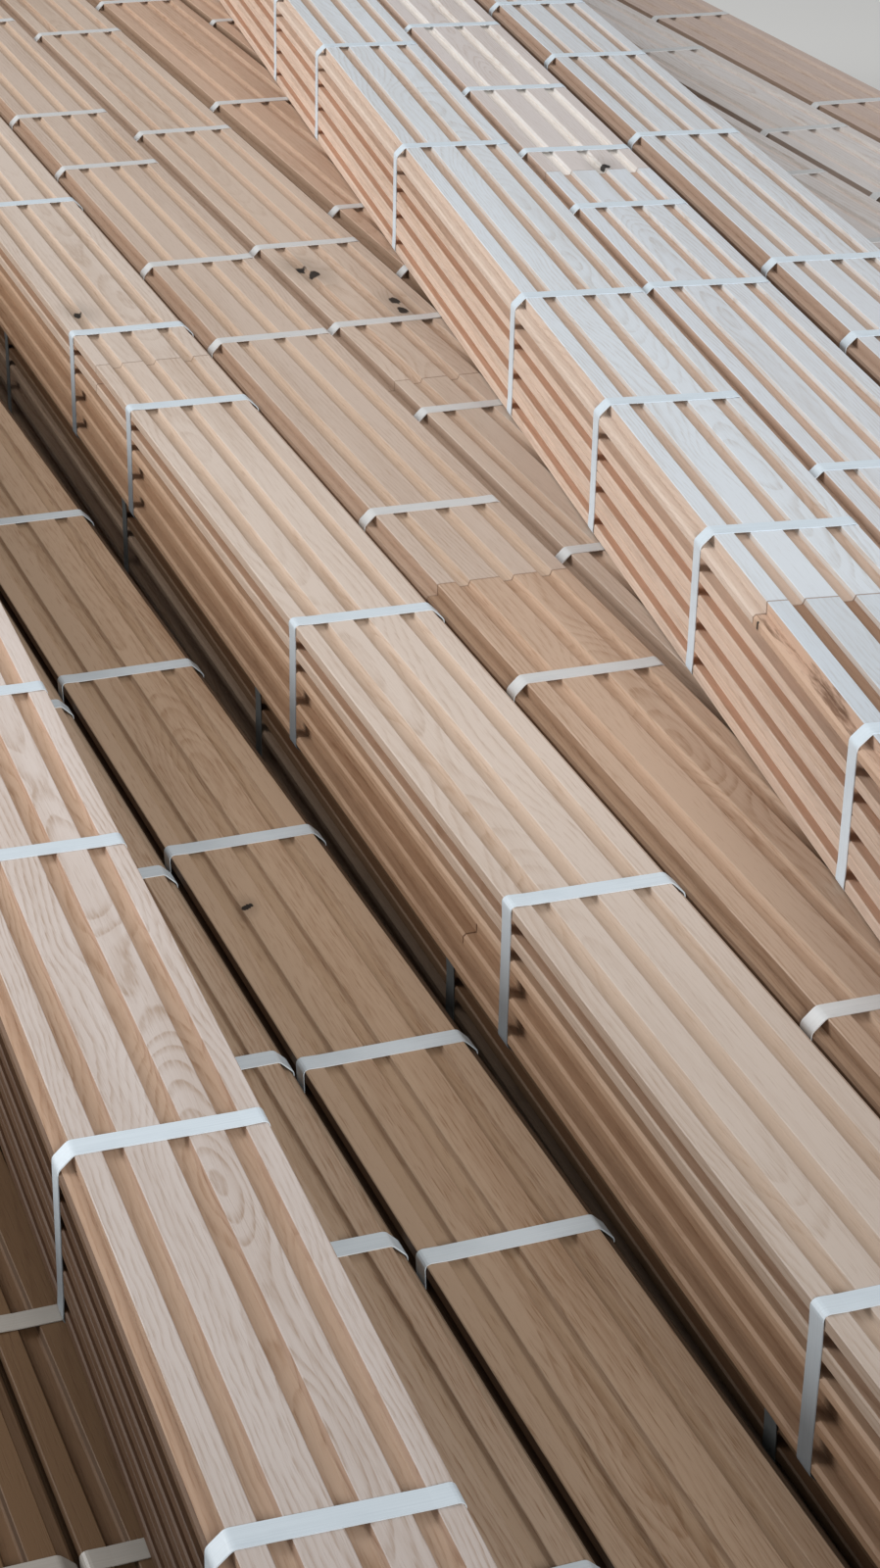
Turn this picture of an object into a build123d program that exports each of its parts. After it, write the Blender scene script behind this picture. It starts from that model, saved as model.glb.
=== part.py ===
from build123d import *
import os
from collections import namedtuple
from math import cos, radians, sin

# A stack of lumber: strapped bundles of solid tongue-and-groove boards, laid in three levels.
# Millimetres. X runs across the stack, Y along the boards, Z up.
# The origin is on the floor under the middle of the stack.

os.makedirs("parts", exist_ok=True)

# Board section, lying with its face up, groove to the left and tongue to the right
face_width = 88.0
board_thickness = 22.0
tongue_length = 7.5
tongue_thickness = 7.0
tongue_chamfer = 1.5
tongue_end_play = 0.8
tongue_side_play = 0.6

# Relief grooves milled in the back of each board
relief_width = 10.0
relief_depth = 3.5
relief_lean = 1.8
tongue_side_rib = 12.0
slot_side_rib = 10.5
narrow_rib = 16.0

# Bundles and their straps
board_length = 3000.0
boards_high = 4
board_gap = 0.3
joint_gap = 0.6
strap_width = 12.0
strap_thickness = 0.5
level_gap = 0.2
end_margin = 40.0

# How far each group of bundles is turned away from the stack's length, in degrees
low_row_turn = -1.14
lone_bundle_turn = 0.97
high_row_turn = 7.28

# Gaps between neighbours in a row, each named after the bundle to its left
snug_gap = 1.4
low_1_gap = 1.8
low_2_gap = 7.1
low_3_gap = 2.2
low_4_gap = 0.8
mid_2_gap = 1.7
mid_3_gap = 4.0
mid_4_gap = 6.8
high_1_gap = 1.5
high_2_gap = 12.7

# How far a bundle lies to the right of the one it is measured from, half way along the boards
low_5_shift = 8.7
lone_bundle_shift = -37.8
high_1_shift = -28.6

# Snug bundles of the middle row, and plain cores in place of the hidden bundles below it
snug_count = 7
core_count = 7

board_width = face_width + tongue_length
wide_rib = face_width - tongue_side_rib - slot_side_rib - narrow_rib - 3 * relief_width
bundle_height = boards_high * board_thickness + (boards_high - 1) * board_gap
level_pitch = bundle_height + 2 * strap_thickness + level_gap

# A bundle's name, level from the floor, middle across the stack, turn in degrees, whether it
# lies end for end, the layer and place of each joint where a board ends and another goes on, and
# the places of its straps. Places are measured along the boards from their near end.
Bundle = namedtuple("Bundle", "name level across turn end_for_end joints straps")


def row_middles(start, gaps, turn):
    """Middles of the bundles of one row, from its first bundle on."""
    middles = [start]
    for gap in gaps:
        middles.append(middles[-1] + (board_width + gap) / cos(radians(turn)))
    return middles


def half_span(turn):
    """Half of the width that a turned bundle's boards take up across the stack."""
    angle = radians(abs(turn))
    return board_length / 2 * sin(angle) + board_width / 2 * cos(angle)


middle_gaps = [mid_2_gap, mid_3_gap, mid_4_gap] + [snug_gap] * (snug_count - 1)
middle_row = row_middles(board_width / 2, middle_gaps, 0.0)
high_1_middle = middle_row[3] + high_1_shift
high_row = row_middles(high_1_middle, [high_1_gap, high_2_gap], high_row_turn)
low_5_middle = middle_row[0] + low_5_shift
low_4_middle = low_5_middle - board_width / 2 - low_4_gap - half_span(low_row_turn)
low_row = row_middles(0.0, [low_1_gap, low_2_gap, low_3_gap], low_row_turn)
low_row = [middle - low_row[-1] + low_4_middle for middle in low_row]
lone_middle = low_row[2] + lone_bundle_shift
low_6_middle = middle_row[-1]
core_pitch = (low_6_middle - low_5_middle) / (core_count + 1)

low_straps = [
    [438, 850, 1270, 1690, 2110, 2530, 2900],
    [140, 438, 601, 1020, 1430, 1850, 2270, 2690],
    [110, 368, 607, 776, 988, 1225, 1640, 2060, 2480, 2870],
    [230, 589, 766, 1011, 1261, 1543, 1960, 2380, 2800],
]
middle_straps = [
    [120, 390, 743, 1109, 1510, 1687, 2052, 2440, 2830],
    [220, 598, 991, 1267, 1638, 1844, 2154, 2347, 2760],
    [150, 480, 820, 1167, 1445, 1650, 1866, 2256, 2684],
    [260, 640, 1020, 1400, 1779, 1963, 2347, 2819],
    [180, 600, 1020, 1440, 1860, 2280, 2700],
    [260, 680, 1100, 1520, 1940, 2360, 2780],
    [180, 600, 1020, 1440, 1860, 2280, 2700],
    [220, 600, 980, 1360, 1740, 1957, 2350, 2760],
    [300, 690, 1080, 1470, 1870, 2103, 2444, 2850],
    [200, 600, 1000, 1400, 1800, 2187, 2592, 2900],
]
high_straps = [
    [120, 410, 693, 960, 1183, 1409, 1820, 2183, 2415, 2800],
    [240, 640, 1035, 1406, 1612, 1779, 1990, 2241, 2660],
    [150, 520, 890, 1263, 1438, 1802, 2090, 2313, 2720],
]
lone_straps = [100, 332, 596, 870, 1067, 1490, 1910, 2330, 2750]
low_5_straps = [436, 845, 1214, 1567, 1980, 2400, 2810]
low_6_straps = [250, 670, 1090, 1510, 1930, 2350, 2770]

# Joints, for each row's bundles in turn
top_layer = boards_high - 1
middle_joints = [[(top_layer, 1609), (1, 805)], [(top_layer, 1140)], [(top_layer, 1512)]] + [[]] * snug_count
high_joints = [[(top_layer, 856)], [(top_layer, 1713)], []]

bundles = []
for number, (middle, straps) in enumerate(zip(low_row, low_straps), start=1):
    bundles.append(Bundle(f"low_{number}", 0, middle, low_row_turn, True, [], straps))
bundles.append(Bundle("low_5", 0, low_5_middle, 0.0, True, [], low_5_straps))
bundles.append(Bundle("mid_1", 1, lone_middle, lone_bundle_turn, False, [], lone_straps))
for number, (middle, joints, straps) in enumerate(zip(middle_row, middle_joints, middle_straps), start=2):
    bundles.append(Bundle(f"mid_{number}", 1, middle, 0.0, number == 2, joints, straps))
for number, (middle, joints, straps) in enumerate(zip(high_row, high_joints, high_straps), start=1):
    bundles.append(Bundle(f"high_{number}", 2, middle, high_row_turn, False, joints, straps))

# The stack's edge in the lowest level, under the last bundle of the middle row
edge_bundle = Bundle("low_6", 0, low_6_middle, 0.0, True, [], low_6_straps)

# The backs of the lower boards show only at their ends, and in these bundles they stay flat
flat_backed = ["low_1", "low_5", "mid_3", "high_2"] + [f"mid_{number}" for number in range(5, 12)]


def within_boards(places):
    """Those of the places along a bundle that lie clear of the ends of its boards."""
    return [place for place in places if end_margin < place < board_length - end_margin]


def joint_places(bundle, layer):
    """Places of the joints in one layer of a bundle."""
    return within_boards([place for joint_layer, place in bundle.joints if joint_layer == layer])


def reach(bundle):
    """How far a bundle reaches to each side of its middle, at its boards' ends or its straps."""
    angle = radians(abs(bundle.turn))
    last_strap = max(abs(place - board_length / 2) for place in within_boards(bundle.straps))
    strap_reach = (last_strap + strap_width / 2) * sin(angle)
    strap_reach += (board_width / 2 + strap_thickness) * cos(angle)
    return max(half_span(bundle.turn), strap_reach)


left_side = min(bundle.across - reach(bundle) for bundle in bundles)
right_side = max(bundle.across + reach(bundle) for bundle in bundles)
stack_middle = (left_side + right_side) / 2


def level_floor(level):
    """Height of the underside of a level's boards."""
    return strap_thickness + level * level_pitch


def section_plane(bundle, along):
    """Upright plane across a bundle, at a distance from the bundle's near end."""
    turn = radians(bundle.turn)
    offset = along - board_length / 2
    origin = (
        bundle.across - stack_middle + offset * sin(turn),
        offset * cos(turn),
        level_floor(bundle.level),
    )
    side = 1.0
    if bundle.end_for_end:
        side = -1.0
    across = (side * cos(turn), -side * sin(turn), 0)
    towards_near_end = (-side * sin(turn), -side * cos(turn), 0)
    return Plane(origin=origin, x_dir=across, z_dir=towards_near_end)


def layer_floor(layer):
    """Height of a layer's underside above the underside of its bundle."""
    return layer * (board_thickness + board_gap)


def relief_edges():
    """Where each relief groove starts and ends, from the groove's side of the board."""
    edges = []
    left = slot_side_rib
    for rib in (narrow_rib, wide_rib, tongue_side_rib):
        edges.append((left, left + relief_width))
        left += relief_width + rib
    return edges


def board_points(relieved, turned):
    """Outline of one board with its lower left corner at the origin."""
    tongue_low = (board_thickness - tongue_thickness) / 2
    tongue_high = tongue_low + tongue_thickness
    slot_low = tongue_low - tongue_side_play / 2
    slot_high = tongue_high + tongue_side_play / 2
    slot_depth = tongue_length + tongue_end_play
    points = [(0, 0)]
    if relieved:
        for left, right in relief_edges():
            points.append((left, 0))
            points.append((left + relief_lean, relief_depth))
            points.append((right - relief_lean, relief_depth))
            points.append((right, 0))
    points += [
        (face_width, 0),
        (face_width, tongue_low),
        (board_width - tongue_chamfer, tongue_low),
        (board_width, tongue_low + tongue_chamfer),
        (board_width, tongue_high - tongue_chamfer),
        (board_width - tongue_chamfer, tongue_high),
        (face_width, tongue_high),
        (face_width, board_thickness),
        (0, board_thickness),
        (0, slot_high),
        (slot_depth, slot_high),
        (slot_depth, slot_low),
        (0, slot_low),
    ]
    if turned:
        points = [(board_width - x, board_thickness - y) for x, y in points]
    return points


def board(bundle, layer, start, end, relieved, turned):
    """One board of a bundle, from one distance along the bundle to another."""
    lift = layer_floor(layer)
    outline = [(x - board_width / 2, y + lift) for x, y in board_points(relieved, turned)]
    base = end
    if bundle.end_for_end:
        base = start
    with BuildSketch(section_plane(bundle, base)) as section:
        with BuildLine():
            Polyline(*outline, close=True)
        make_face()
    extrude(section.sketch, amount=end - start)


def board_layer(bundle, layer, relieved):
    """One layer of a bundle: a board, or several end to end. The top one lies back up."""
    start = 0.0
    for joint in joint_places(bundle, layer):
        board(bundle, layer, start, joint - joint_gap / 2, relieved, layer == top_layer)
        start = joint + joint_gap / 2
    board(bundle, layer, start, board_length, relieved, layer == top_layer)


def strap_outline(proud):
    """Outline of a strap pulled tight round a bundle, standing proud of the boards."""
    left = -board_width / 2 - proud
    right = board_width / 2 + proud
    low = -proud
    high = bundle_height + proud
    tongue_drop = (board_thickness - tongue_thickness) / 2
    return [
        (left + tongue_length, high),
        (right, high),
        (right, low + tongue_drop),
        (right - tongue_length, low),
        (left, low),
        (left, high - tongue_drop),
    ]


def strap(bundle, along):
    """One strap, at a distance from the bundle's near end."""
    edge = along + strap_width / 2
    if bundle.end_for_end:
        edge = along - strap_width / 2
    with BuildSketch(section_plane(bundle, edge)) as section:
        with BuildLine():
            Polyline(*strap_outline(strap_thickness), close=True)
        make_face()
        with BuildLine():
            Polyline(*strap_outline(0.0), close=True)
        make_face(mode=Mode.SUBTRACT)
    extrude(section.sketch, amount=strap_width)


def save(name, part):
    """Label a finished piece and write it."""
    part.label = name
    export_step(part, f"parts/{name}.step")


for bundle in bundles:
    with BuildPart() as top_board:
        board_layer(bundle, top_layer, True)
    save(f"{bundle.name}_top_board", top_board.part)

    with BuildPart() as lower_boards:
        for layer in range(top_layer):
            board_layer(bundle, layer, bundle.name not in flat_backed)
    save(f"{bundle.name}_lower_boards", lower_boards.part)

    with BuildPart() as straps:
        for along in within_boards(bundle.straps):
            strap(bundle, along)
    save(f"{bundle.name}_straps", straps.part)

# The edge bundle shows one side only, so the backs of all its boards stay flat
with BuildPart() as edge_boards:
    for layer in range(boards_high):
        board_layer(edge_bundle, layer, False)
save("low_6_boards", edge_boards.part)

with BuildPart() as edge_straps:
    for along in within_boards(edge_bundle.straps):
        strap(edge_bundle, along)
save("low_6_straps", edge_straps.part)

# The bundles hidden under the middle row are plain cores, one for each bundle
with BuildPart() as cores:
    for place in range(1, core_count + 1):
        core_middle = low_5_middle + place * core_pitch - stack_middle
        with BuildSketch(Plane.XY):
            with Locations((core_middle, 0)):
                Rectangle(board_width, board_length)
        extrude(amount=bundle_height + 2 * strap_thickness)
save("hidden_bundle_cores", cores.part)
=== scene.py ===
import math
import random
from collections import namedtuple

import bpy
from mathutils import Matrix, Vector


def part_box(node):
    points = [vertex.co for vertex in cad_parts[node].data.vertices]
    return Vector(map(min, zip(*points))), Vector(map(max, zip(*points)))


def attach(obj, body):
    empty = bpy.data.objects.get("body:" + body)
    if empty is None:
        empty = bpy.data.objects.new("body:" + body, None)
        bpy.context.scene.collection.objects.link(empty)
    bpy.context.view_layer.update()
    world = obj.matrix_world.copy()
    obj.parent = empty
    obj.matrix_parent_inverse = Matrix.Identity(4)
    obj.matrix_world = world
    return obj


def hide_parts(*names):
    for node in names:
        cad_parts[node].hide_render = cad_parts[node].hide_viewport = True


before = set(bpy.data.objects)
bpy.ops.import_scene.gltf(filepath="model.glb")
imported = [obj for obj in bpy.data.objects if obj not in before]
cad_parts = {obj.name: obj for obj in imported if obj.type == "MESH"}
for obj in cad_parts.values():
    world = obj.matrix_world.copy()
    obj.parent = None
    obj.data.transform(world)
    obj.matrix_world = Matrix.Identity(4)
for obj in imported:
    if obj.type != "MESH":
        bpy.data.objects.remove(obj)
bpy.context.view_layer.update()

# A stack of lumber. Every board and strap of the solids is made again with its fine shapes and its
# own wood. Metres. X runs across the stack, Y along the boards, Z up.

# Sizes of boards and straps. All but the slot's chamfer and the arris are those of the solids.
FACE_WIDTH = 0.088
THICKNESS = 0.022
TONGUE_LENGTH = 0.0075
TONGUE_THICKNESS = 0.007
TONGUE_CHAMFER = 0.0015
SLOT_DEPTH = 0.0083
SLOT_HEIGHT = 0.0076
SLOT_CHAMFER = 0.0009
WIDTH = FACE_WIDTH + TONGUE_LENGTH
RELIEF_WIDTH = 0.010
RELIEF_STARTS = (0.0105, 0.0365, 0.066)
ARRIS = 0.0005
BOARD_GAP = 0.0003
BOARDS_HIGH = 4
TOP_LAYER = BOARDS_HIGH - 1
BUNDLE_HEIGHT = BOARDS_HIGH * THICKNESS + TOP_LAYER * BOARD_GAP
STRAP_WIDTH = 0.012
STRAP_THICKNESS = 0.0005

# Bundles hidden under the middle row, and how many knots a board can have
HIDDEN_BUNDLES = 7
KNOTS_PER_BOARD = 4

# Bundles that lie end for end, with the top board's tongue on the right
END_FOR_END = ("low_1", "low_2", "low_3", "low_4", "low_5", "low_6", "mid_2")

# Zones of a board's surface that its material tells apart
SIDE = 0.0
FACE = 1.0
RELIEF = 2.0
EDGE = 3.0
END = 4.0
WALL = 5.0
SLOT = 6.0
TIP = 7.0

# One side of a milled relief: distance from its edge, depth, and the zone that starts there
RELIEF_SIDE = (
    (-0.0003, 0.0, EDGE),
    (0.00015, 0.0003, WALL),
    (0.0011, 0.0027, RELIEF),
    (0.0015, 0.0032, RELIEF),
    (0.0022, 0.0035, RELIEF),
)

# The zones of its other side, from the floor out
RELIEF_WAY_OUT = (RELIEF, RELIEF, WALL, EDGE, FACE)


def relief_profile(start):
    """Points and zones across one milled relief, its walls leaning and curved into its floor."""
    points = []
    zones = []
    for out, deep, zone in RELIEF_SIDE:
        points.append((start + out, deep))
        zones.append(zone)
    for (out, deep, _), zone in zip(reversed(RELIEF_SIDE), RELIEF_WAY_OUT):
        points.append((start + RELIEF_WIDTH - out, deep))
        zones.append(zone)
    return points, zones


def board_profile():
    """Section of a board, face up, with the zone of the surface that starts at each point."""
    tongue_low = (THICKNESS - TONGUE_THICKNESS) / 2
    tongue_high = tongue_low + TONGUE_THICKNESS
    slot_low = (THICKNESS - SLOT_HEIGHT) / 2
    slot_high = slot_low + SLOT_HEIGHT
    points = [(0.0, ARRIS), (ARRIS, 0.0)]
    zones = [EDGE, FACE]
    for start in RELIEF_STARTS:
        more_points, more_zones = relief_profile(start)
        points += more_points
        zones += more_zones
    points += [
        (FACE_WIDTH - ARRIS, 0.0),
        (FACE_WIDTH, ARRIS),
        (FACE_WIDTH, tongue_low),
        (WIDTH - TONGUE_CHAMFER, tongue_low),
        (WIDTH, tongue_low + TONGUE_CHAMFER),
        (WIDTH, tongue_high - TONGUE_CHAMFER),
        (WIDTH - TONGUE_CHAMFER, tongue_high),
        (FACE_WIDTH, tongue_high),
        (FACE_WIDTH, THICKNESS - ARRIS),
        (FACE_WIDTH - ARRIS, THICKNESS),
        (ARRIS, THICKNESS),
        (0.0, THICKNESS - ARRIS),
        (0.0, slot_high + SLOT_CHAMFER),
        (SLOT_CHAMFER, slot_high),
        (SLOT_DEPTH, slot_high),
        (SLOT_DEPTH, slot_low),
        (SLOT_CHAMFER, slot_low),
        (0.0, slot_low - SLOT_CHAMFER),
    ]
    zones += [EDGE, SIDE, SIDE, TIP, TIP, TIP, SIDE, SIDE, EDGE]
    zones += [FACE, EDGE, SIDE, SIDE, SLOT, SLOT, SLOT, SIDE, SIDE]
    return points, zones


BOARD_PROFILE, BOARD_ZONES = board_profile()


class Place:
    """Where a bundle lies: its middle on its underside, and its directions along and across."""

    def __init__(self, middle, along, underside):
        self.middle = middle
        self.along = along
        self.across = Vector((along.y, -along.x, 0.0))
        self.underside = underside

    def point(self, across, along, up):
        """A point of the bundle in the frame, from its left side, its middle and its underside."""
        spot = self.middle + self.across * (across - WIDTH / 2) + self.along * along
        return Vector((spot.x, spot.y, self.underside + up))


def node_points(name):
    """The corners of a CAD node."""
    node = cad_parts[name]
    return [node.matrix_world @ vertex.co for vertex in node.data.vertices]


def bundle_place(name):
    """The place of a bundle, read from a node that holds some of its boards."""
    points = sorted(node_points(name), key=lambda point: point.y)
    half = len(points) // 2
    along = sum(points[half:], Vector()) - sum(points[:half], Vector())
    along.z = 0.0
    low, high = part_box(name)
    middle = (Vector(low) + Vector(high)) / 2
    return Place(Vector((middle.x, middle.y, 0.0)), along.normalized(), low[2])


def stretches(points, place):
    """Where the separate solids that have these corners start and end along their bundle."""
    same_spot = 0.0001
    ends = []
    for spot in sorted((point - place.middle).dot(place.along) for point in points):
        if not ends or spot - ends[-1] > same_spot:
            ends.append(spot)
    return list(zip(ends[::2], ends[1::2]))


def layer_stretches(name, place, layer):
    """Where the boards of one layer start and end."""
    middle = place.underside + layer * (THICKNESS + BOARD_GAP) + THICKNESS / 2
    reach = THICKNESS / 2 + BOARD_GAP / 2
    points = [point for point in node_points(name) if abs(point.z - middle) < reach]
    return stretches(points, place)


def new_mesh(name, points, faces):
    """A mesh object from points and faces."""
    mesh = bpy.data.meshes.new(name)
    mesh.from_pydata([tuple(point) for point in points], [], faces)
    mesh.validate()
    piece = bpy.data.objects.new(name, mesh)
    bpy.context.collection.objects.link(piece)
    return piece


def add_vector(mesh, name, values):
    """Writes a vector to each point of a mesh."""
    attribute = mesh.attributes.new(name, "FLOAT_VECTOR", "POINT")
    for item, value in zip(attribute.data, values):
        item.vector = value


# Where the heart of the tree lies. Under arched grain: its share of the face's width, and how far
# below. Under straight grain: how far aside, to the left or the right, and how far below.
ARCHED_ACROSS = (0.3, 0.7)
ARCHED_BELOW = (0.012, 0.035)
STRAIGHT_ASIDE = (0.08, 0.25)
STRAIGHT_BELOW = (0.02, 0.2)

# How far a board may lie aside, as a share of the gap between boards, and how far apart the grain
# of two boards is taken from the noise
MOST_SLIDE = 0.3
SEED_SPREAD = 9


def heart_place(dice, wood):
    """Where the heart of the tree lies from a board, and how much it wanders along it."""
    if dice.random() < wood["flat_sawn"]:
        across = dice.uniform(*ARCHED_ACROSS) * FACE_WIDTH
        below = dice.uniform(*ARCHED_BELOW)
    else:
        across = dice.choice((-1.0, 1.0)) * dice.uniform(*STRAIGHT_ASIDE)
        below = dice.uniform(*STRAIGHT_BELOW)
    return (across, -below, wood["wander"])


def add_board(name, place, layer, start, end, turned, swapped, wood, knots=()):
    """One board of a bundle, swept along it, with its own grain."""
    dice = random.Random(name)
    lift = layer * (THICKNESS + BOARD_GAP)
    slide = dice.uniform(-MOST_SLIDE, MOST_SLIDE) * BOARD_GAP
    points = []
    grain = []
    reach = []
    for along in (start, end):
        for across, up in BOARD_PROFILE:
            reach.append((along - start, end - along, 0.0))
            u, v = across, up
            if turned:
                u, v = WIDTH - across, THICKNESS - up
            if swapped:
                u = WIDTH - u
            points.append(place.point(u + slide, along, v + lift))
            grain.append((across, along, up))
    count = len(BOARD_PROFILE)
    faces = []
    for corner in range(count):
        after = (corner + 1) % count
        faces.append((count + corner, count + after, after, corner))
    faces += [tuple(range(count)), tuple(range(2 * count - 1, count - 1, -1))]
    if swapped:
        faces = [face[::-1] for face in faces]
    piece = new_mesh(name, points, faces)
    mesh = piece.data
    zone = mesh.attributes.new("zone", "FLOAT", "FACE")
    for item, value in zip(zone.data, BOARD_ZONES + [END, END]):
        item.value = value
    add_vector(mesh, "grain", grain)
    add_vector(mesh, "reach", reach)
    seed = (dice.uniform(0, SEED_SPREAD), dice.uniform(0, SEED_SPREAD), dice.uniform(-1, 1))
    add_vector(mesh, "seed", [seed] * len(points))
    add_vector(mesh, "heart", [heart_place(dice, wood)] * len(points))
    far_away = (0.0, 9.0, 0.001)
    for number in range(KNOTS_PER_BOARD):
        knot = knots[number] if number < len(knots) else far_away
        add_vector(mesh, f"knot_{number + 1}", [knot] * len(points))
    mesh.materials.append(wood["material"])
    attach(piece, "root")
    return piece


def rounded(corners, steps=4):
    """A closed outline, counterclockwise, with an arc at each corner, given as x, y and radius."""
    outline = []
    count = len(corners)
    spots = [Vector((x, y)) for x, y, _ in corners]
    for number, (_, _, radius) in enumerate(corners):
        here = spots[number]
        back = (spots[number - 1] - here).normalized()
        on = (spots[(number + 1) % count] - here).normalized()
        half = back.angle(on) / 2
        centre = here + (back + on).normalized() * (radius / math.sin(half))
        away = here + back * (radius / math.tan(half)) - centre
        start = math.atan2(away.y, away.x)
        for step in range(steps + 1):
            angle = start + (math.pi - 2 * half) * step / steps
            outline.append(centre + Vector((math.cos(angle), math.sin(angle))) * radius)
    return outline


def strap_outlines(swapped):
    """Inner and outer outline of a strap, standing off a little at the bundle's square corners."""
    tongue_drop = (THICKNESS - TONGUE_THICKNESS) / 2
    stand_off = 0.0006
    stretch = 0.012
    tight = 0.0028
    loose = 0.004
    outlines = []
    for proud in (0.0, STRAP_THICKNESS):
        left, right = -proud, WIDTH + proud
        low, high = -proud, BUNDLE_HEIGHT + proud
        outline = rounded([
            (left + stretch, low, loose),
            (right - TONGUE_LENGTH, low, loose + proud),
            (right, low + tongue_drop, loose + proud),
            (right, high - stretch, loose),
            (right + stand_off, high + stand_off, tight + proud),
            (right - stretch, high, loose),
            (left + TONGUE_LENGTH, high, loose + proud),
            (left, high - tongue_drop, loose + proud),
            (left, low + stretch, loose),
            (left - stand_off, low - stand_off, tight + proud),
        ])
        if swapped:
            outline = [Vector((WIDTH - point.x, point.y)) for point in outline][::-1]
        outlines.append([Vector((point.x, max(point.y, low))) for point in outline])
    return outlines


def add_strap(name, place, middle, swapped, material):
    """One strap round a bundle, a thin band with its edges a little eased."""
    dice = random.Random(name)
    inner, outer = strap_outlines(swapped)
    most_skew = 0.0012
    skew = dice.uniform(-most_skew, most_skew)
    half = STRAP_WIDTH / 2
    eased = 0.00012
    rings = [
        (-half, outer),
        (-half + eased, outer),
        (half - eased, outer),
        (half, outer),
        (half, inner),
        (-half, inner),
    ]
    points = []
    grain = []
    run = []
    for along, outline in rings:
        length = 0.0
        for number, spot in enumerate(outline):
            if number:
                length += (spot - outline[number - 1]).length
            lean = skew * (spot.x / WIDTH - 0.5)
            points.append(place.point(spot.x, middle + along + lean, spot.y))
            grain.append((spot.x, middle + along, spot.y))
            run.append((along, length, spot.y / BUNDLE_HEIGHT))
    count = len(inner)
    faces = []
    for ring in range(len(rings)):
        here = ring * count
        after = (ring + 1) % len(rings) * count
        for number in range(count):
            on = (number + 1) % count
            faces.append((here + number, after + number, after + on, here + on))
    piece = new_mesh(name, points, faces)
    add_vector(piece.data, "grain", grain)
    add_vector(piece.data, "weave", run)
    piece.data.materials.append(material)
    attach(piece, "root")
    return piece


class Shader:
    """Short ways to add nodes to a material."""

    def __init__(self, name):
        self.material = bpy.data.materials.new(name)
        self.material.use_nodes = True
        self.tree = self.material.node_tree
        self.principled = self.tree.nodes["Principled BSDF"]

    def link(self, source, target):
        """Feeds a socket from another socket or a plain value."""
        if isinstance(source, bpy.types.NodeSocket):
            self.tree.links.new(source, target)
        else:
            target.default_value = source

    def attribute(self, name, output="Vector"):
        """A value that the mesh carries."""
        node = self.tree.nodes.new("ShaderNodeAttribute")
        node.attribute_name = name
        return node.outputs[output]

    def math(self, operation, *values):
        """A sum with numbers."""
        node = self.tree.nodes.new("ShaderNodeMath")
        node.operation = operation
        for socket, value in zip(node.inputs, values):
            self.link(value, socket)
        return node.outputs[0]

    def product(self, *values):
        """Several numbers multiplied."""
        result = values[0]
        for value in values[1:]:
            result = self.math("MULTIPLY", result, value)
        return result

    def total(self, *values):
        """Several numbers added up."""
        result = values[0]
        for value in values[1:]:
            result = self.math("ADD", result, value)
        return result

    def vector(self, operation, *values):
        """A sum with vectors."""
        node = self.tree.nodes.new("ShaderNodeVectorMath")
        node.operation = operation
        for socket, value in zip(node.inputs, values):
            self.link(value, socket)
        return node.outputs["Vector"]

    def split(self, vector):
        """The three numbers of a vector."""
        node = self.tree.nodes.new("ShaderNodeSeparateXYZ")
        self.link(vector, node.inputs[0])
        return node.outputs[0], node.outputs[1], node.outputs[2]

    def join(self, x, y, z):
        """A vector from three numbers."""
        node = self.tree.nodes.new("ShaderNodeCombineXYZ")
        for socket, value in zip(node.inputs, (x, y, z)):
            self.link(value, socket)
        return node.outputs[0]

    def noise(self, vector, stretch, detail=2.0, roughness=0.5):
        """Noise from 0 to 1, drawn out by a different amount along each direction."""
        node = self.tree.nodes.new("ShaderNodeTexNoise")
        self.link(self.vector("MULTIPLY", vector, stretch), node.inputs["Vector"])
        node.inputs["Scale"].default_value = 1.0
        node.inputs["Detail"].default_value = detail
        node.inputs["Roughness"].default_value = roughness
        return node.outputs[0]

    def swing(self, vector, stretch, size, detail=2.0):
        """Noise that swings to both sides of nought."""
        middled = self.math("SUBTRACT", self.noise(vector, stretch, detail), 0.5)
        return self.math("MULTIPLY", middled, size)

    def swings(self, vector, waves):
        """Several such noises, each given as its stretch and its size."""
        return [self.swing(vector, stretch, size) for stretch, size in waves]

    def span(self, value, low, high, start=0.0, end=1.0):
        """A value carried from one span to another, held at its ends."""
        node = self.tree.nodes.new("ShaderNodeMapRange")
        for socket, number in zip(node.inputs, (value, low, high, start, end)):
            self.link(number, socket)
        return node.outputs[0]

    def within(self, value, middle):
        """One where a value lies within a half of a whole number, or else nought."""
        return self.math("COMPARE", value, middle, 0.5)

    def mix(self, share, first, second):
        """One colour turning into another."""
        node = self.tree.nodes.new("ShaderNodeMix")
        node.data_type = "RGBA"
        self.link(share, node.inputs[0])
        self.link(first, node.inputs[6])
        self.link(second, node.inputs[7])
        return node.outputs[2]

    def bump(self, height, depth, strength):
        """Gives the surface fine relief."""
        node = self.tree.nodes.new("ShaderNodeBump")
        node.inputs["Strength"].default_value = strength
        node.inputs["Distance"].default_value = depth
        self.link(height, node.inputs["Height"])
        self.link(node.outputs[0], self.principled.inputs["Normal"])


# The share of brightness left by a painted shade at the near ends of boards and in the near straps,
# and between which places along them, from the middle of the bundle, it comes back to one
NEAR_END_SHADE = 0.52
NEAR_END_SPAN = (-1.5, -0.6)
NEAR_STRAP_SHADE = 0.62
NEAR_STRAP_SPAN = (-1.5, -0.9)

# Tints of the inside of a slot beside the sides, a painted shade in that recess, of end grain beside
# a relief's floor, of dark grain beside the wood, of the wood round a knot, and of the dark parts of
# a strap
SLOT_SHADE_TINT = (0.98, 0.92, 0.87)
END_TINT = (0.92, 0.92, 0.92)
GRAIN_TINT = (0.66, 0.56, 0.47)
SMUDGE_TINT = (0.56, 0.55, 0.53)
STRAP_TINT = (0.84, 0.85, 0.86)
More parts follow.
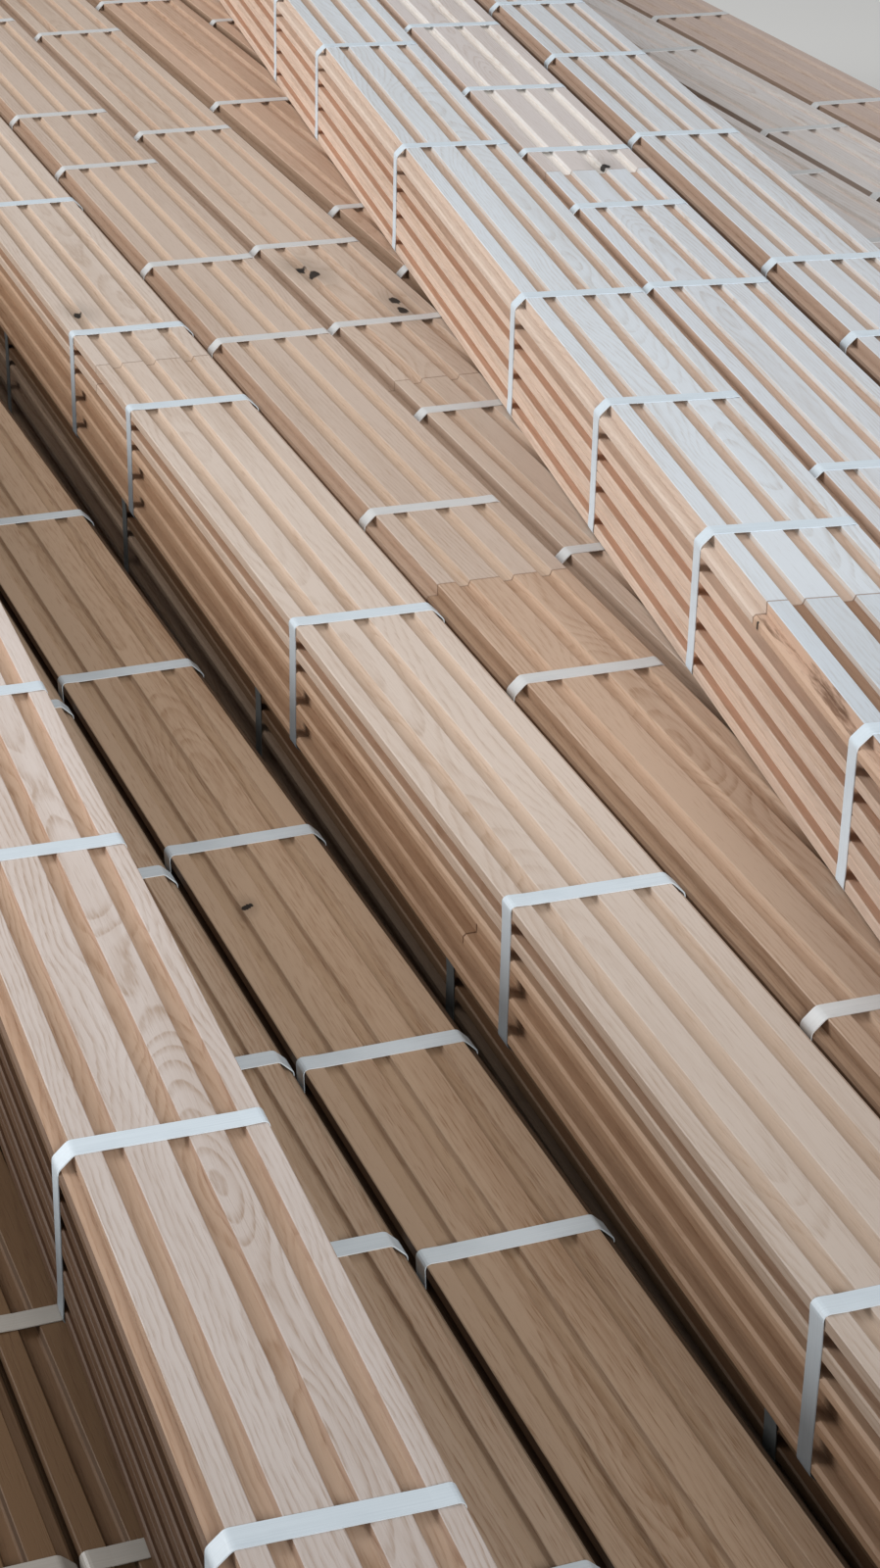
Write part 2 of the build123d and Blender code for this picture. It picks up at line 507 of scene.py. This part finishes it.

# Colours of torn wood, of a knot and of the painted shade in the crack of a joint, and how wide that
# painted shade is
TORN_COLOUR = (112, 78, 55)
KNOT_COLOUR = (24, 18, 14)
JOINT_SHADE_COLOUR = (96, 66, 48)
JOINT_SHADE_WIDTH = 0.0008

# Growth rings: their width, how unevenly they follow each other, between which shares of a ring the
# dark late wood comes up and falls off, and how far, and from how many knot sizes, a knot pushes them
RING_WIDTH = 0.0026
RING_UNEVENNESS = 2.6
LATE_WOOD_RISE = (0.45, 0.85)
LATE_WOOD_FALL = (1.0, 0.92)
KNOT_PUSH = 0.004
KNOT_PUSH_SPAN = (5.0, 0.5)

# Noise across, along and up a board, in waves per metre, with its size: what bends the rings, in
# metres, what moves the heart, and what makes light and dark streaks
RING_BENDS = (((9.0, 1.2, 9.0), 0.020), ((60.0, 22.0, 60.0), 0.003), ((260.0, 80.0, 260.0), 0.0013))
HEART_DRIFTS = (((4.0, 1.6, 4.0), 1.0), ((9.0, 4.5, 9.0), 0.22))
STREAKS = (((20.0, 1.5, 20.0), 1.1), ((90.0, 5.0, 90.0), 0.7))

# The same without a size: breaks in the late wood, faint rings, fibres, pores, torn wood, the frayed
# rim of a knot and the smudge round it, and, along and round a strap, its ribs and its wear
BREAK_WAVES = (640.0, 60.0, 640.0)
FAINT_WAVES = (20.0, 2.6, 20.0)
FIBRE_WAVES = (560.0, 13.0, 560.0)
PORE_WAVES = (1300.0, 52.0, 1300.0)
TORN_WAVES = (130.0, 16.0, 130.0)
FRAY_WAVES = (240.0, 120.0, 240.0)
SMUDGE_WAVES = (60.0, 14.0, 60.0)
RIB_WAVES = (2600.0, 14.0, 1.0)
WEAR_WAVES = (60.0, 40.0, 1.0)

# Spans of the noise, or of the distance from a knot in knot sizes, over which each of them comes up,
# and, where there are four numbers, how much of it there is at both ends. The last three are a
# strap's: its height on the bundle, as a share, for the painted highlight or painted shade low down,
# its ribs and its wear.
BREAK_SPAN = (0.38, 0.58, 0.3, 1.0)
FAINT_SPAN = (0.36, 0.60, 0.2, 1.0)
PORE_SPAN = (0.58, 0.70)
TORN_SPAN = (0.50, 0.64)
KNOT_SPAN = (1.25, 0.95, 0.0, 0.97)
SMUDGE_SPAN = (6.5, 1.2, 0.0, 0.6)
LOW_SPAN = (0.3, 0.96)
RIB_SPAN = (0.7, 0.3, 0.0, 0.6)
WEAR_SPAN = (0.5, 0.8, 0.0, 0.5)

# How far a knot's rim is frayed and how ragged the smudge round it is, in knot sizes, and how strong
# the painted shade in the crack of a joint is
FRAY_SIZE = 1.6
SMUDGE_SIZE = 6.0
JOINT_SHADE_STRENGTH = 0.6

# How strongly fibres and pores darken the wood, how dark it is at least, and how much brighter or
# darker one board is than another
FIBRE_STRENGTH = 0.55
PORE_STRENGTH = 0.26
LEAST_DARK = 0.06
TONE_SPREAD = 0.05


def linear(red, green, blue):
    """A colour given in display values from 0 to 255, as the shader needs it."""
    values = []
    for value in (red, green, blue):
        share = value / 255
        values.append(share / 12.92 if share < 0.04045 else ((share + 0.055) / 1.055) ** 2.4)
    return (*values, 1.0)


def tinted(colour, tint):
    """A colour with each of its parts multiplied by a tint's."""
    return [value * share for value, share in zip(colour, tint)]


def wood_material(name, wood):
    """Planed hardwood: growth rings cut by the board's surface, fibres, pores, streaks and knots."""
    s = Shader(name)
    grain = s.attribute("grain")
    seed = s.attribute("seed")
    zone = s.attribute("zone", "Fac")
    place = s.vector("ADD", grain, seed)
    x, y, z = s.split(grain)
    heart_x, heart_z, wander = s.split(s.attribute("heart"))
    tone = s.split(seed)[2]

    # Distance from the nearest knot, in knot sizes
    near_knot = 99.0
    for number in range(KNOTS_PER_BOARD):
        knot_x, knot_y, knot_size = s.split(s.attribute(f"knot_{number + 1}"))
        off_x = s.math("SUBTRACT", x, knot_x)
        off_y = s.math("MULTIPLY", s.math("SUBTRACT", y, knot_y), 0.5)
        distance = s.math("SQRT", s.total(s.product(off_x, off_x), s.product(off_y, off_y)))
        near_knot = s.math("MINIMUM", s.math("DIVIDE", distance, knot_size), near_knot)

    # Growth rings round the heart, pushed aside by a knot, coming and going along the board
    aside = s.total(
        s.math("SUBTRACT", x, heart_x),
        *s.swings(place, RING_BENDS),
    )
    drift = s.total(*s.swings(place, HEART_DRIFTS))
    rise = s.total(s.math("SUBTRACT", z, heart_z), s.math("MULTIPLY", drift, wander))
    radius = s.math("SQRT", s.total(s.product(aside, aside), s.product(rise, rise)))
    radius = s.math("ADD", radius, s.span(near_knot, *KNOT_PUSH_SPAN, 0.0, KNOT_PUSH))
    from_heart = s.join(radius, 0.0, s.math("MULTIPLY", tone, 5.0))
    uneven = s.math("MULTIPLY", s.noise(from_heart, (90.0, 1.0, 1.0), 1.0), RING_UNEVENNESS)
    rings = s.math("FRACT", s.math("ADD", s.math("DIVIDE", radius, RING_WIDTH), uneven))
    late = s.math("MULTIPLY", s.span(rings, *LATE_WOOD_RISE), s.span(rings, *LATE_WOOD_FALL))
    broken = s.span(s.noise(place, BREAK_WAVES, 2.0), *BREAK_SPAN)
    shown = s.span(s.noise(place, FAINT_WAVES), *FAINT_SPAN)

    # Fibres, pores and streaks, and how dark they and the rings make the wood
    fibres = s.noise(place, FIBRE_WAVES, 3.0, 0.6)
    pores = s.span(s.noise(place, PORE_WAVES, 1.0), *PORE_SPAN)
    dark = s.total(
        s.product(late, shown, broken, wood.rings),
        s.math("MULTIPLY", s.math("SUBTRACT", fibres, 0.5), FIBRE_STRENGTH),
        s.math("MULTIPLY", pores, PORE_STRENGTH),
        *s.swings(place, STREAKS),
    )
    dark = s.math("ADD", s.math("MULTIPLY", dark, wood.contrast), LEAST_DARK)

    # The colour of each zone, the slot's with a painted shade, with a tone of the board's own and a
    # painted shade that darkens it towards its near end
    zone_colours = (
        (FACE, wood.face),
        (RELIEF, wood.relief),
        (WALL, wood.wall),
        (EDGE, wood.face),
        (SLOT, tinted(wood.side, SLOT_SHADE_TINT)),
        (TIP, wood.tip),
        (END, tinted(wood.relief, END_TINT)),
    )
    base = linear(*wood.side)
    for part, part_colour in zone_colours:
        base = s.mix(s.within(zone, part), base, linear(*part_colour))
    near_end = s.span(y, *NEAR_END_SPAN, NEAR_END_SHADE, 1.0)
    own_tone = s.math("ADD", 1.0, s.math("MULTIPLY", tone, TONE_SPREAD))
    brightness = s.math("MULTIPLY", own_tone, near_end)
    base = s.vector("MULTIPLY", base, s.join(brightness, brightness, brightness))
    deep = s.vector("MULTIPLY", base, GRAIN_TINT)
    colour = s.mix(s.span(dark, 0.0, 1.0), base, deep)
    if wood.ragged:
        torn = s.span(s.noise(place, TORN_WAVES, 4.0, 0.72), *TORN_SPAN, 0.0, wood.ragged)
        torn_side = s.math("MULTIPLY", torn, s.within(zone, SIDE))
        colour = s.mix(torn_side, colour, linear(*TORN_COLOUR))

    # Knots with a frayed rim and a smudge round them, and painted shade in the crack of the joint at
    # a board's ends
    frayed = s.math("ADD", near_knot, s.swing(place, FRAY_WAVES, FRAY_SIZE, 4.0))
    smudged = s.math("ADD", near_knot, s.swing(place, SMUDGE_WAVES, SMUDGE_SIZE))
    smudge = s.span(smudged, *SMUDGE_SPAN)
    colour = s.mix(smudge, colour, s.vector("MULTIPLY", base, SMUDGE_TINT))
    colour = s.mix(s.span(frayed, *KNOT_SPAN), colour, linear(*KNOT_COLOUR))
    from_start, from_end, _ = s.split(s.attribute("reach"))
    from_joint = s.math("MINIMUM", from_start, from_end)
    joint = s.span(from_joint, JOINT_SHADE_WIDTH, 0.0, 0.0, JOINT_SHADE_STRENGTH)
    joint = s.math("MULTIPLY", joint, s.math("SUBTRACT", 1.0, s.within(zone, END)))
    colour = s.mix(joint, colour, linear(*JOINT_SHADE_COLOUR))
    s.link(colour, s.principled.inputs["Base Color"])
    s.principled.inputs["Roughness"].default_value = 0.6
    s.principled.inputs["Specular IOR Level"].default_value = 0.25
    s.bump(s.math("SUBTRACT", s.math("MULTIPLY", fibres, 0.8), pores), 0.0002, 0.3)
    return s.material


def strap_material(name, colour, low_shade):
    """Woven strap: fine ribs and wear, with a painted highlight or painted shade towards its bundle's
    underside, and a painted shade towards the near end.
    """
    s = Shader(name)
    weave = s.attribute("weave")
    ribs = s.noise(weave, RIB_WAVES, 1.0)
    wear = s.noise(weave, WEAR_WAVES, 2.0)
    height = s.split(weave)[2]
    along = s.split(s.attribute("grain"))[1]
    # Painted light: brighter or darker low down on the bundle, as each look sets, and painted shade
    # towards the near end
    near = s.span(along, *NEAR_STRAP_SPAN, NEAR_STRAP_SHADE, 1.0)
    painted_light = s.math("MULTIPLY", s.span(height, *LOW_SPAN, low_shade, 1.0), near)
    pale = s.vector("MULTIPLY", linear(*colour)[:3], s.join(painted_light, painted_light, painted_light))
    shaded = s.vector("MULTIPLY", pale, STRAP_TINT)
    share = s.total(s.span(ribs, *RIB_SPAN), s.span(wear, *WEAR_SPAN))
    s.link(s.mix(share, pale, shaded), s.principled.inputs["Base Color"])
    s.principled.inputs["Roughness"].default_value = 0.45
    s.bump(ribs, 0.0001, 0.25)
    return s.material


# A wood: the colours of the ribs, of the walls and floors of the reliefs, of the sides and of the
# tongue's tip, the strength of the grain and of the rings in it, how torn the sides are, the share
# of boards with arched grain, how much the heart wanders, and the slot
Wood = namedtuple("Wood", "face wall relief side tip contrast rings ragged flat_sawn wander slot")
WOODS = {
    # Painted reflection: the bluish faces of white, white_torn, white_tan and white_brown are the
    # wood's own pale colour with a painted reflection of the sky on them.
    "white": Wood(
        face=(219, 225, 231), wall=(214, 206, 199), relief=(205, 181, 163),
        side=(222, 203, 188), tip=(222, 203, 188), contrast=0.55, rings=0.7,
        ragged=0.0, flat_sawn=1.0, wander=0.12, slot="pale_board",
    ),
    "white_torn": Wood(
        face=(206, 213, 220), wall=(200, 190, 182), relief=(158, 126, 103),
        side=(212, 182, 160), tip=(204, 172, 148), contrast=0.7, rings=0.7,
        ragged=0.8, flat_sawn=1.0, wander=0.12, slot="pale_board",
    ),
    "white_tan": Wood(
        face=(211, 216, 222), wall=(216, 214, 212), relief=(202, 176, 158),
        side=(204, 178, 159), tip=(190, 163, 144), contrast=0.6, rings=0.7,
        ragged=0.0, flat_sawn=0.6, wander=0.10, slot="pale_board",
    ),
    "white_dull": Wood(
        face=(210, 202, 199), wall=(222, 219, 216), relief=(240, 232, 225),
        side=(208, 186, 170), tip=(190, 166, 148), contrast=0.6, rings=0.7,
        ragged=0.0, flat_sawn=0.6, wander=0.10, slot="pale_board",
    ),
    "white_brown": Wood(
        face=(214, 218, 223), wall=(218, 210, 204), relief=(192, 172, 157),
        side=(194, 168, 149), tip=(176, 150, 131), contrast=0.6, rings=0.7,
        ragged=0.0, flat_sawn=0.6, wander=0.10, slot="pale_board",
    ),
    "peach": Wood(
        face=(224, 198, 178), wall=(224, 198, 178), relief=(224, 198, 178),
        side=(226, 202, 184), tip=(224, 198, 178), contrast=0.85, rings=0.6,
        ragged=0.15, flat_sawn=0.3, wander=0.02, slot="pale_board",
    ),
    # Painted shade: pink's dark tongue tip is where its bundle's left side lies in shade.
    "pink": Wood(
        face=(215, 203, 196), wall=(202, 172, 150), relief=(197, 169, 146),
        side=(200, 170, 146), tip=(118, 90, 67), contrast=0.85, rings=0.75,
        ragged=0.0, flat_sawn=1.0, wander=0.15, slot="pink_board",
    ),
    "cream": Wood(
        face=(210, 195, 183), wall=(210, 190, 172), relief=(201, 179, 160),
        side=(207, 186, 168), tip=(224, 202, 184), contrast=0.85, rings=0.5,
        ragged=0.0, flat_sawn=0.8, wander=0.07, slot="cream_board",
    ),
    "sand": Wood(
        face=(200, 182, 168), wall=(202, 180, 160), relief=(206, 182, 161),
        side=(191, 164, 143), tip=(180, 153, 132), contrast=0.9, rings=0.5,
        ragged=0.0, flat_sawn=0.6, wander=0.07, slot="cream_board",
    ),
    "fawn": Wood(
        face=(197, 179, 164), wall=(192, 168, 148), relief=(198, 174, 154),
        side=(183, 159, 140), tip=(205, 179, 157), contrast=0.9, rings=0.5,
        ragged=0.0, flat_sawn=0.6, wander=0.07, slot="cream_board",
    ),
    "tan": Wood(
        face=(195, 167, 146), wall=(196, 168, 145), relief=(204, 174, 151),
        side=(170, 143, 121), tip=(160, 134, 112), contrast=1.1, rings=0.5,
        ragged=0.0, flat_sawn=0.5, wander=0.06, slot="cream_board",
    ),
    "brown": Wood(
        face=(191, 165, 144), wall=(200, 172, 148), relief=(190, 160, 136),
        side=(170, 141, 117), tip=(150, 122, 99), contrast=1.3, rings=0.45,
        ragged=0.0, flat_sawn=1.0, wander=0.10, slot="cream_board",
    ),
    "honey": Wood(
        face=(196, 164, 137), wall=(196, 164, 137), relief=(196, 164, 137),
        side=(196, 164, 137), tip=(196, 164, 137), contrast=1.1, rings=0.5,
        ragged=0.0, flat_sawn=0.5, wander=0.05, slot="cream_board",
    ),
    "russet": Wood(
        face=(180, 147, 119), wall=(180, 147, 119), relief=(180, 147, 119),
        side=(180, 147, 119), tip=(180, 147, 119), contrast=1.3, rings=0.5,
        ragged=0.15, flat_sawn=0.5, wander=0.05, slot="cream_board",
    ),
    "dull": Wood(
        face=(218, 213, 211), wall=(228, 224, 220), relief=(220, 210, 204),
        side=(186, 170, 159), tip=(170, 150, 137), contrast=0.7, rings=0.7,
        ragged=0.0, flat_sawn=0.6, wander=0.05, slot="dull_board",
    ),
    "drab": Wood(
        face=(192, 174, 164), wall=(196, 180, 168), relief=(186, 168, 156),
        side=(172, 151, 136), tip=(164, 143, 128), contrast=0.7, rings=0.7,
        ragged=0.0, flat_sawn=0.6, wander=0.05, slot="dull_board",
    ),
    # Painted shade: umber is the wood of a bundle's left side, dark where that side lies in shade.
    "umber": Wood(
        face=(98, 71, 49), wall=(98, 71, 49), relief=(98, 71, 49),
        side=(98, 71, 49), tip=(98, 71, 49), contrast=1.2, rings=0.4,
        ragged=0.1, flat_sawn=0.4, wander=0.04, slot="pink_board",
    ),
    # Painted shade: shaded, shaded_pale and dusk are darkened for the bundles of the low level, which
    # lie in shade between the higher ones, dusk the most, for those furthest left and in the deepest
    # gap.
    "shaded": Wood(
        face=(182, 155, 130), wall=(188, 160, 134), relief=(172, 145, 119),
        side=(104, 82, 64), tip=(104, 82, 64), contrast=2.2, rings=0.25,
        ragged=0.0, flat_sawn=0.9, wander=0.09, slot="shaded_board",
    ),
    "shaded_pale": Wood(
        face=(184, 159, 136), wall=(190, 163, 138), relief=(174, 149, 125),
        side=(168, 144, 121), tip=(168, 144, 121), contrast=2.0, rings=0.3,
        ragged=0.0, flat_sawn=0.9, wander=0.09, slot="shaded_board",
    ),
    "dusk": Wood(
        face=(105, 79, 54), wall=(90, 68, 49), relief=(110, 83, 59),
        side=(120, 93, 69), tip=(112, 86, 63), contrast=1.5, rings=0.3,
        ragged=0.0, flat_sawn=0.6, wander=0.06, slot="shaded_board",
    ),
}

# Woods of a bundle's lower boards, from the bottom up, and of its top boards, from the near end on
BUNDLE_WOODS = {
    "high_1": (("peach",) * 3, ("white_torn", "white")),
    "high_2": (("tan",) * 3, ("white_tan", "white_dull")),
    "high_3": (("tan",) * 3, ("white_brown",)),
    "mid_1": (("umber",) * 3, ("pink",)),
    "mid_2": (("russet", "russet", "honey"), ("cream", "cream")),
    "mid_3": (("tan",) * 3, ("brown", "sand")),
    "mid_4": (("tan",) * 3, ("fawn", "fawn")),
    "mid_5": (("tan",) * 3, ("tan",)),
    "mid_6": (("tan",) * 3, ("tan",)),
    "mid_7": (("tan",) * 3, ("tan",)),
    "mid_8": (("tan",) * 3, ("tan",)),
    "mid_9": (("tan",) * 3, ("dull",)),
    "mid_10": (("tan",) * 3, ("dull",)),
    "mid_11": (("tan",) * 3, ("drab",)),
    "low_1": (("dusk",) * 3, ("dusk",)),
    "low_2": (("dusk",) * 3, ("dusk",)),
    "low_3": (("dusk",) * 3, ("shaded_pale",)),
    "low_4": (("dusk",) * 3, ("shaded",)),
    "low_5": (("tan",) * 3, ("dusk",)),
    "low_6": (("tan",) * 3, ("tan",)),
}

# Straps: their colour, and their brightness beside it low down, above one a painted highlight on the
# strap's sides and below one a painted shade. All are one white woven strap: the looks other than
# white are copies darkened with painted shade for bundles that lie in shade, grey the darkest, for
# the deepest gap. Then the bundles that have other than white ones.
STRAPS = {
    "white": ((216, 228, 237), 1.12),
    "pale": ((208, 209, 209), 1.0),
    "shaded": ((204, 212, 217), 1.0),
    "shaded_sides": ((212, 223, 231), 0.36),
    "grey": ((112, 114, 113), 0.7),
    "shaded_dim": ((160, 154, 146), 0.7),
}
STRAPPED = {
    "mid_1": "shaded_sides",
    "mid_2": "shaded_sides",
    **{f"mid_{number}": "pale" for number in range(3, 12)},
    "low_1": "shaded_dim",
    "low_2": "shaded_dim",
    "low_3": "shaded",
    "low_4": "shaded",
    "low_5": "grey",
}

# Knots of top boards: the board's number, how far from the bundle's left side, from the bundle's
# near end, and the knot's size
KNOTS = {
    "high_1": ((1, 0.000, 0.862, 0.0006), (1, 0.000, 0.848, 0.0006)),
    "high_2": ((2, 0.060, 1.722, 0.0030),),
    "mid_2": ((2, 0.017, 1.739, 0.0028),),
    "mid_4": (
        (2, 0.025, 1.804, 0.0036),
        (2, 0.031, 1.783, 0.0036),
        (2, 0.071, 1.696, 0.0036),
        (2, 0.069, 1.670, 0.0034),
    ),
    "low_4": (
        (1, 0.0215, 0.932, 0.0011),
        (1, 0.0232, 0.933, 0.0012),
        (1, 0.0249, 0.934, 0.0012),
        (1, 0.0266, 0.935, 0.0010),
    ),
    "low_2": ((1, 0.050, 0.672, 0.0026),),
}


def make_woods():
    """The woods, each with its material."""
    woods = {}
    for name, wood in WOODS.items():
        woods[name] = {
            "material": wood_material(f"wood_{name}", wood),
            "slot": wood.slot,
            "flat_sawn": wood.flat_sawn,
            "wander": wood.wander,
        }
    return woods


def board_knots(name, number, start, swapped):
    """The knots of one top board of a bundle, in the board's own directions."""
    knots = []
    for board, across, along, size in KNOTS.get(name, ()):
        if board == number:
            knots.append((across if swapped else WIDTH - across, start + along, size))
    return knots


def make_bundle(name, woods, straps):
    """All boards and straps of one bundle, in the place of its CAD nodes."""
    top_node, lower_node = f"{name}_top_board", f"{name}_lower_boards"
    if lower_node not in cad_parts:
        top_node = lower_node = f"{name}_boards"
    place = bundle_place(lower_node)
    swapped = name in END_FOR_END
    lower_woods, top_woods = BUNDLE_WOODS[name]
    near_end = layer_stretches(lower_node, place, 0)[0][0]
    for layer, wood in enumerate(lower_woods):
        boards = layer_stretches(lower_node, place, layer)
        for number, (start, end) in enumerate(boards, start=1):
            board_name = f"{name}_layer_{layer + 1}_board_{number}"
            piece = add_board(board_name, place, layer, start, end, False, swapped, woods[wood])
            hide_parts(lower_node)
    boards = layer_stretches(top_node, place, TOP_LAYER)
    for number, (start, end) in enumerate(boards, start=1):
        board_name = f"{name}_top_board_{number}"
        wood = woods[top_woods[min(number, len(top_woods)) - 1]]
        knots = board_knots(name, number, near_end, swapped)
        piece = add_board(board_name, place, TOP_LAYER, start, end, True, swapped, wood, knots)
        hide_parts(top_node)
    strap_node = f"{name}_straps"
    look = straps[STRAPPED.get(name, "white")]
    strap_places = stretches(node_points(strap_node), place)
    for number, (start, end) in enumerate(strap_places, start=1):
        piece = add_strap(f"{name}_strap_{number}", place, (start + end) / 2, swapped, look)
        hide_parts(strap_node)


def make_hidden_bundles(woods, straps):
    """The bundles under the middle row, of which the ends show from the front and the back."""
    node = "hidden_bundle_cores"
    low, high = (Vector(corner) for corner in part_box(node))
    first = low.x + WIDTH / 2
    pitch = (high.x - low.x - WIDTH) / (HIDDEN_BUNDLES - 1)
    half = (high.y - low.y) / 2
    strap_from_end = 0.2
    for number in range(HIDDEN_BUNDLES):
        middle = Vector((first + number * pitch, (low.y + high.y) / 2, 0.0))
        place = Place(middle, Vector((0.0, 1.0, 0.0)), low.z + STRAP_THICKNESS)
        name = f"hidden_{number + 1}"
        for layer in range(BOARDS_HIGH):
            board_name = f"{name}_board_{layer + 1}"
            turned = layer == TOP_LAYER
            piece = add_board(board_name, place, layer, -half, half, turned, False, woods["tan"])
            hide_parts(node)
        for end, along in (("near", strap_from_end - half), ("far", half - strap_from_end)):
            piece = add_strap(f"{name}_strap_{end}", place, along, False, straps["white"])
            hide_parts(node)


def make_floor():
    """A plain pale floor."""
    size = 40.0
    corners = [(-size, -size, 0), (size, -size, 0), (size, size, 0), (-size, size, 0)]
    floor = new_mesh("floor", corners, [(0, 1, 2, 3)])
    s = Shader("floor_pale")
    s.principled.inputs["Base Color"].default_value = linear(228, 228, 226)
    s.principled.inputs["Roughness"].default_value = 0.8
    floor.data.materials.append(s.material)


# How bright the world is, the lamps with their places, sizes and powers, and the point that they face
WORLD_STRENGTH = 0.30
LAMPS = (
    ("left", (-3.3, 1.6, 1.9), 2.4, 122.0),
    ("above", (-0.4, 1.8, 4.4), 3.0, 6.0),
    ("front", (0.3, -7.0, 4.0), 3.2, 450.0),
)
LAMP_TARGET = (0.0, 0.0, 0.15)


def add_lamp(name, place, size, power):
    """A square soft light that faces the stack."""
    data = bpy.data.lights.new(name, "AREA")
    data.shape = "SQUARE"
    data.size = size
    data.energy = power
    lamp = bpy.data.objects.new(name, data)
    lamp.location = place
    lamp.rotation_mode = "QUATERNION"
    lamp.rotation_quaternion = (Vector(LAMP_TARGET) - Vector(place)).to_track_quat("-Z", "Y")
    bpy.context.collection.objects.link(lamp)


def make_light():
    """Plain soft studio light, from the left, from above and from the front."""
    world = bpy.data.worlds.new("studio")
    bpy.context.scene.world = world
    world.use_nodes = True
    background = world.node_tree.nodes["Background"]
    background.inputs["Color"].default_value = (1.0, 1.0, 1.0, 1.0)
    background.inputs["Strength"].default_value = WORLD_STRENGTH
    for lamp in LAMPS:
        add_lamp(*lamp)


# The photograph's camera: its place, its heading from +Y towards +X, its tilt and its roll
CAMERA_PLACE = (-0.7535, -1.9665, 0.9099)
CAMERA_HEADING = 20.389
CAMERA_TILT = 26.977
CAMERA_ROLL = 1.297
CAMERA_LENS = 67.68


def make_camera():
    """The camera at the photograph's viewing angle."""
    heading = math.radians(CAMERA_HEADING)
    tilt = math.radians(CAMERA_TILT)
    roll = math.radians(CAMERA_ROLL)
    ahead = Vector((
        math.sin(heading) * math.cos(tilt),
        math.cos(heading) * math.cos(tilt),
        -math.sin(tilt),
    ))
    level = Vector((math.cos(heading), -math.sin(heading), 0.0))
    above = level.cross(ahead)
    right = level * math.cos(roll) + above * math.sin(roll)
    up = above * math.cos(roll) - level * math.sin(roll)
    data = bpy.data.cameras.new("camera")
    data.sensor_width = 36.0
    data.lens = CAMERA_LENS
    data.clip_start = 0.05
    data.clip_end = 200.0
    camera = bpy.data.objects.new("camera", data)
    turn = Matrix((right, up, -ahead)).transposed().to_4x4()
    camera.matrix_world = Matrix.Translation(CAMERA_PLACE) @ turn
    bpy.context.collection.objects.link(camera)
    bpy.context.scene.camera = camera


bpy.context.scene.view_settings.view_transform = "Standard"
woods = make_woods()
straps = {name: strap_material(f"strap_{name}", *look) for name, look in STRAPS.items()}
for bundle_name in BUNDLE_WOODS:
    make_bundle(bundle_name, woods, straps)
make_hidden_bundles(woods, straps)
make_floor()
make_light()
make_camera()
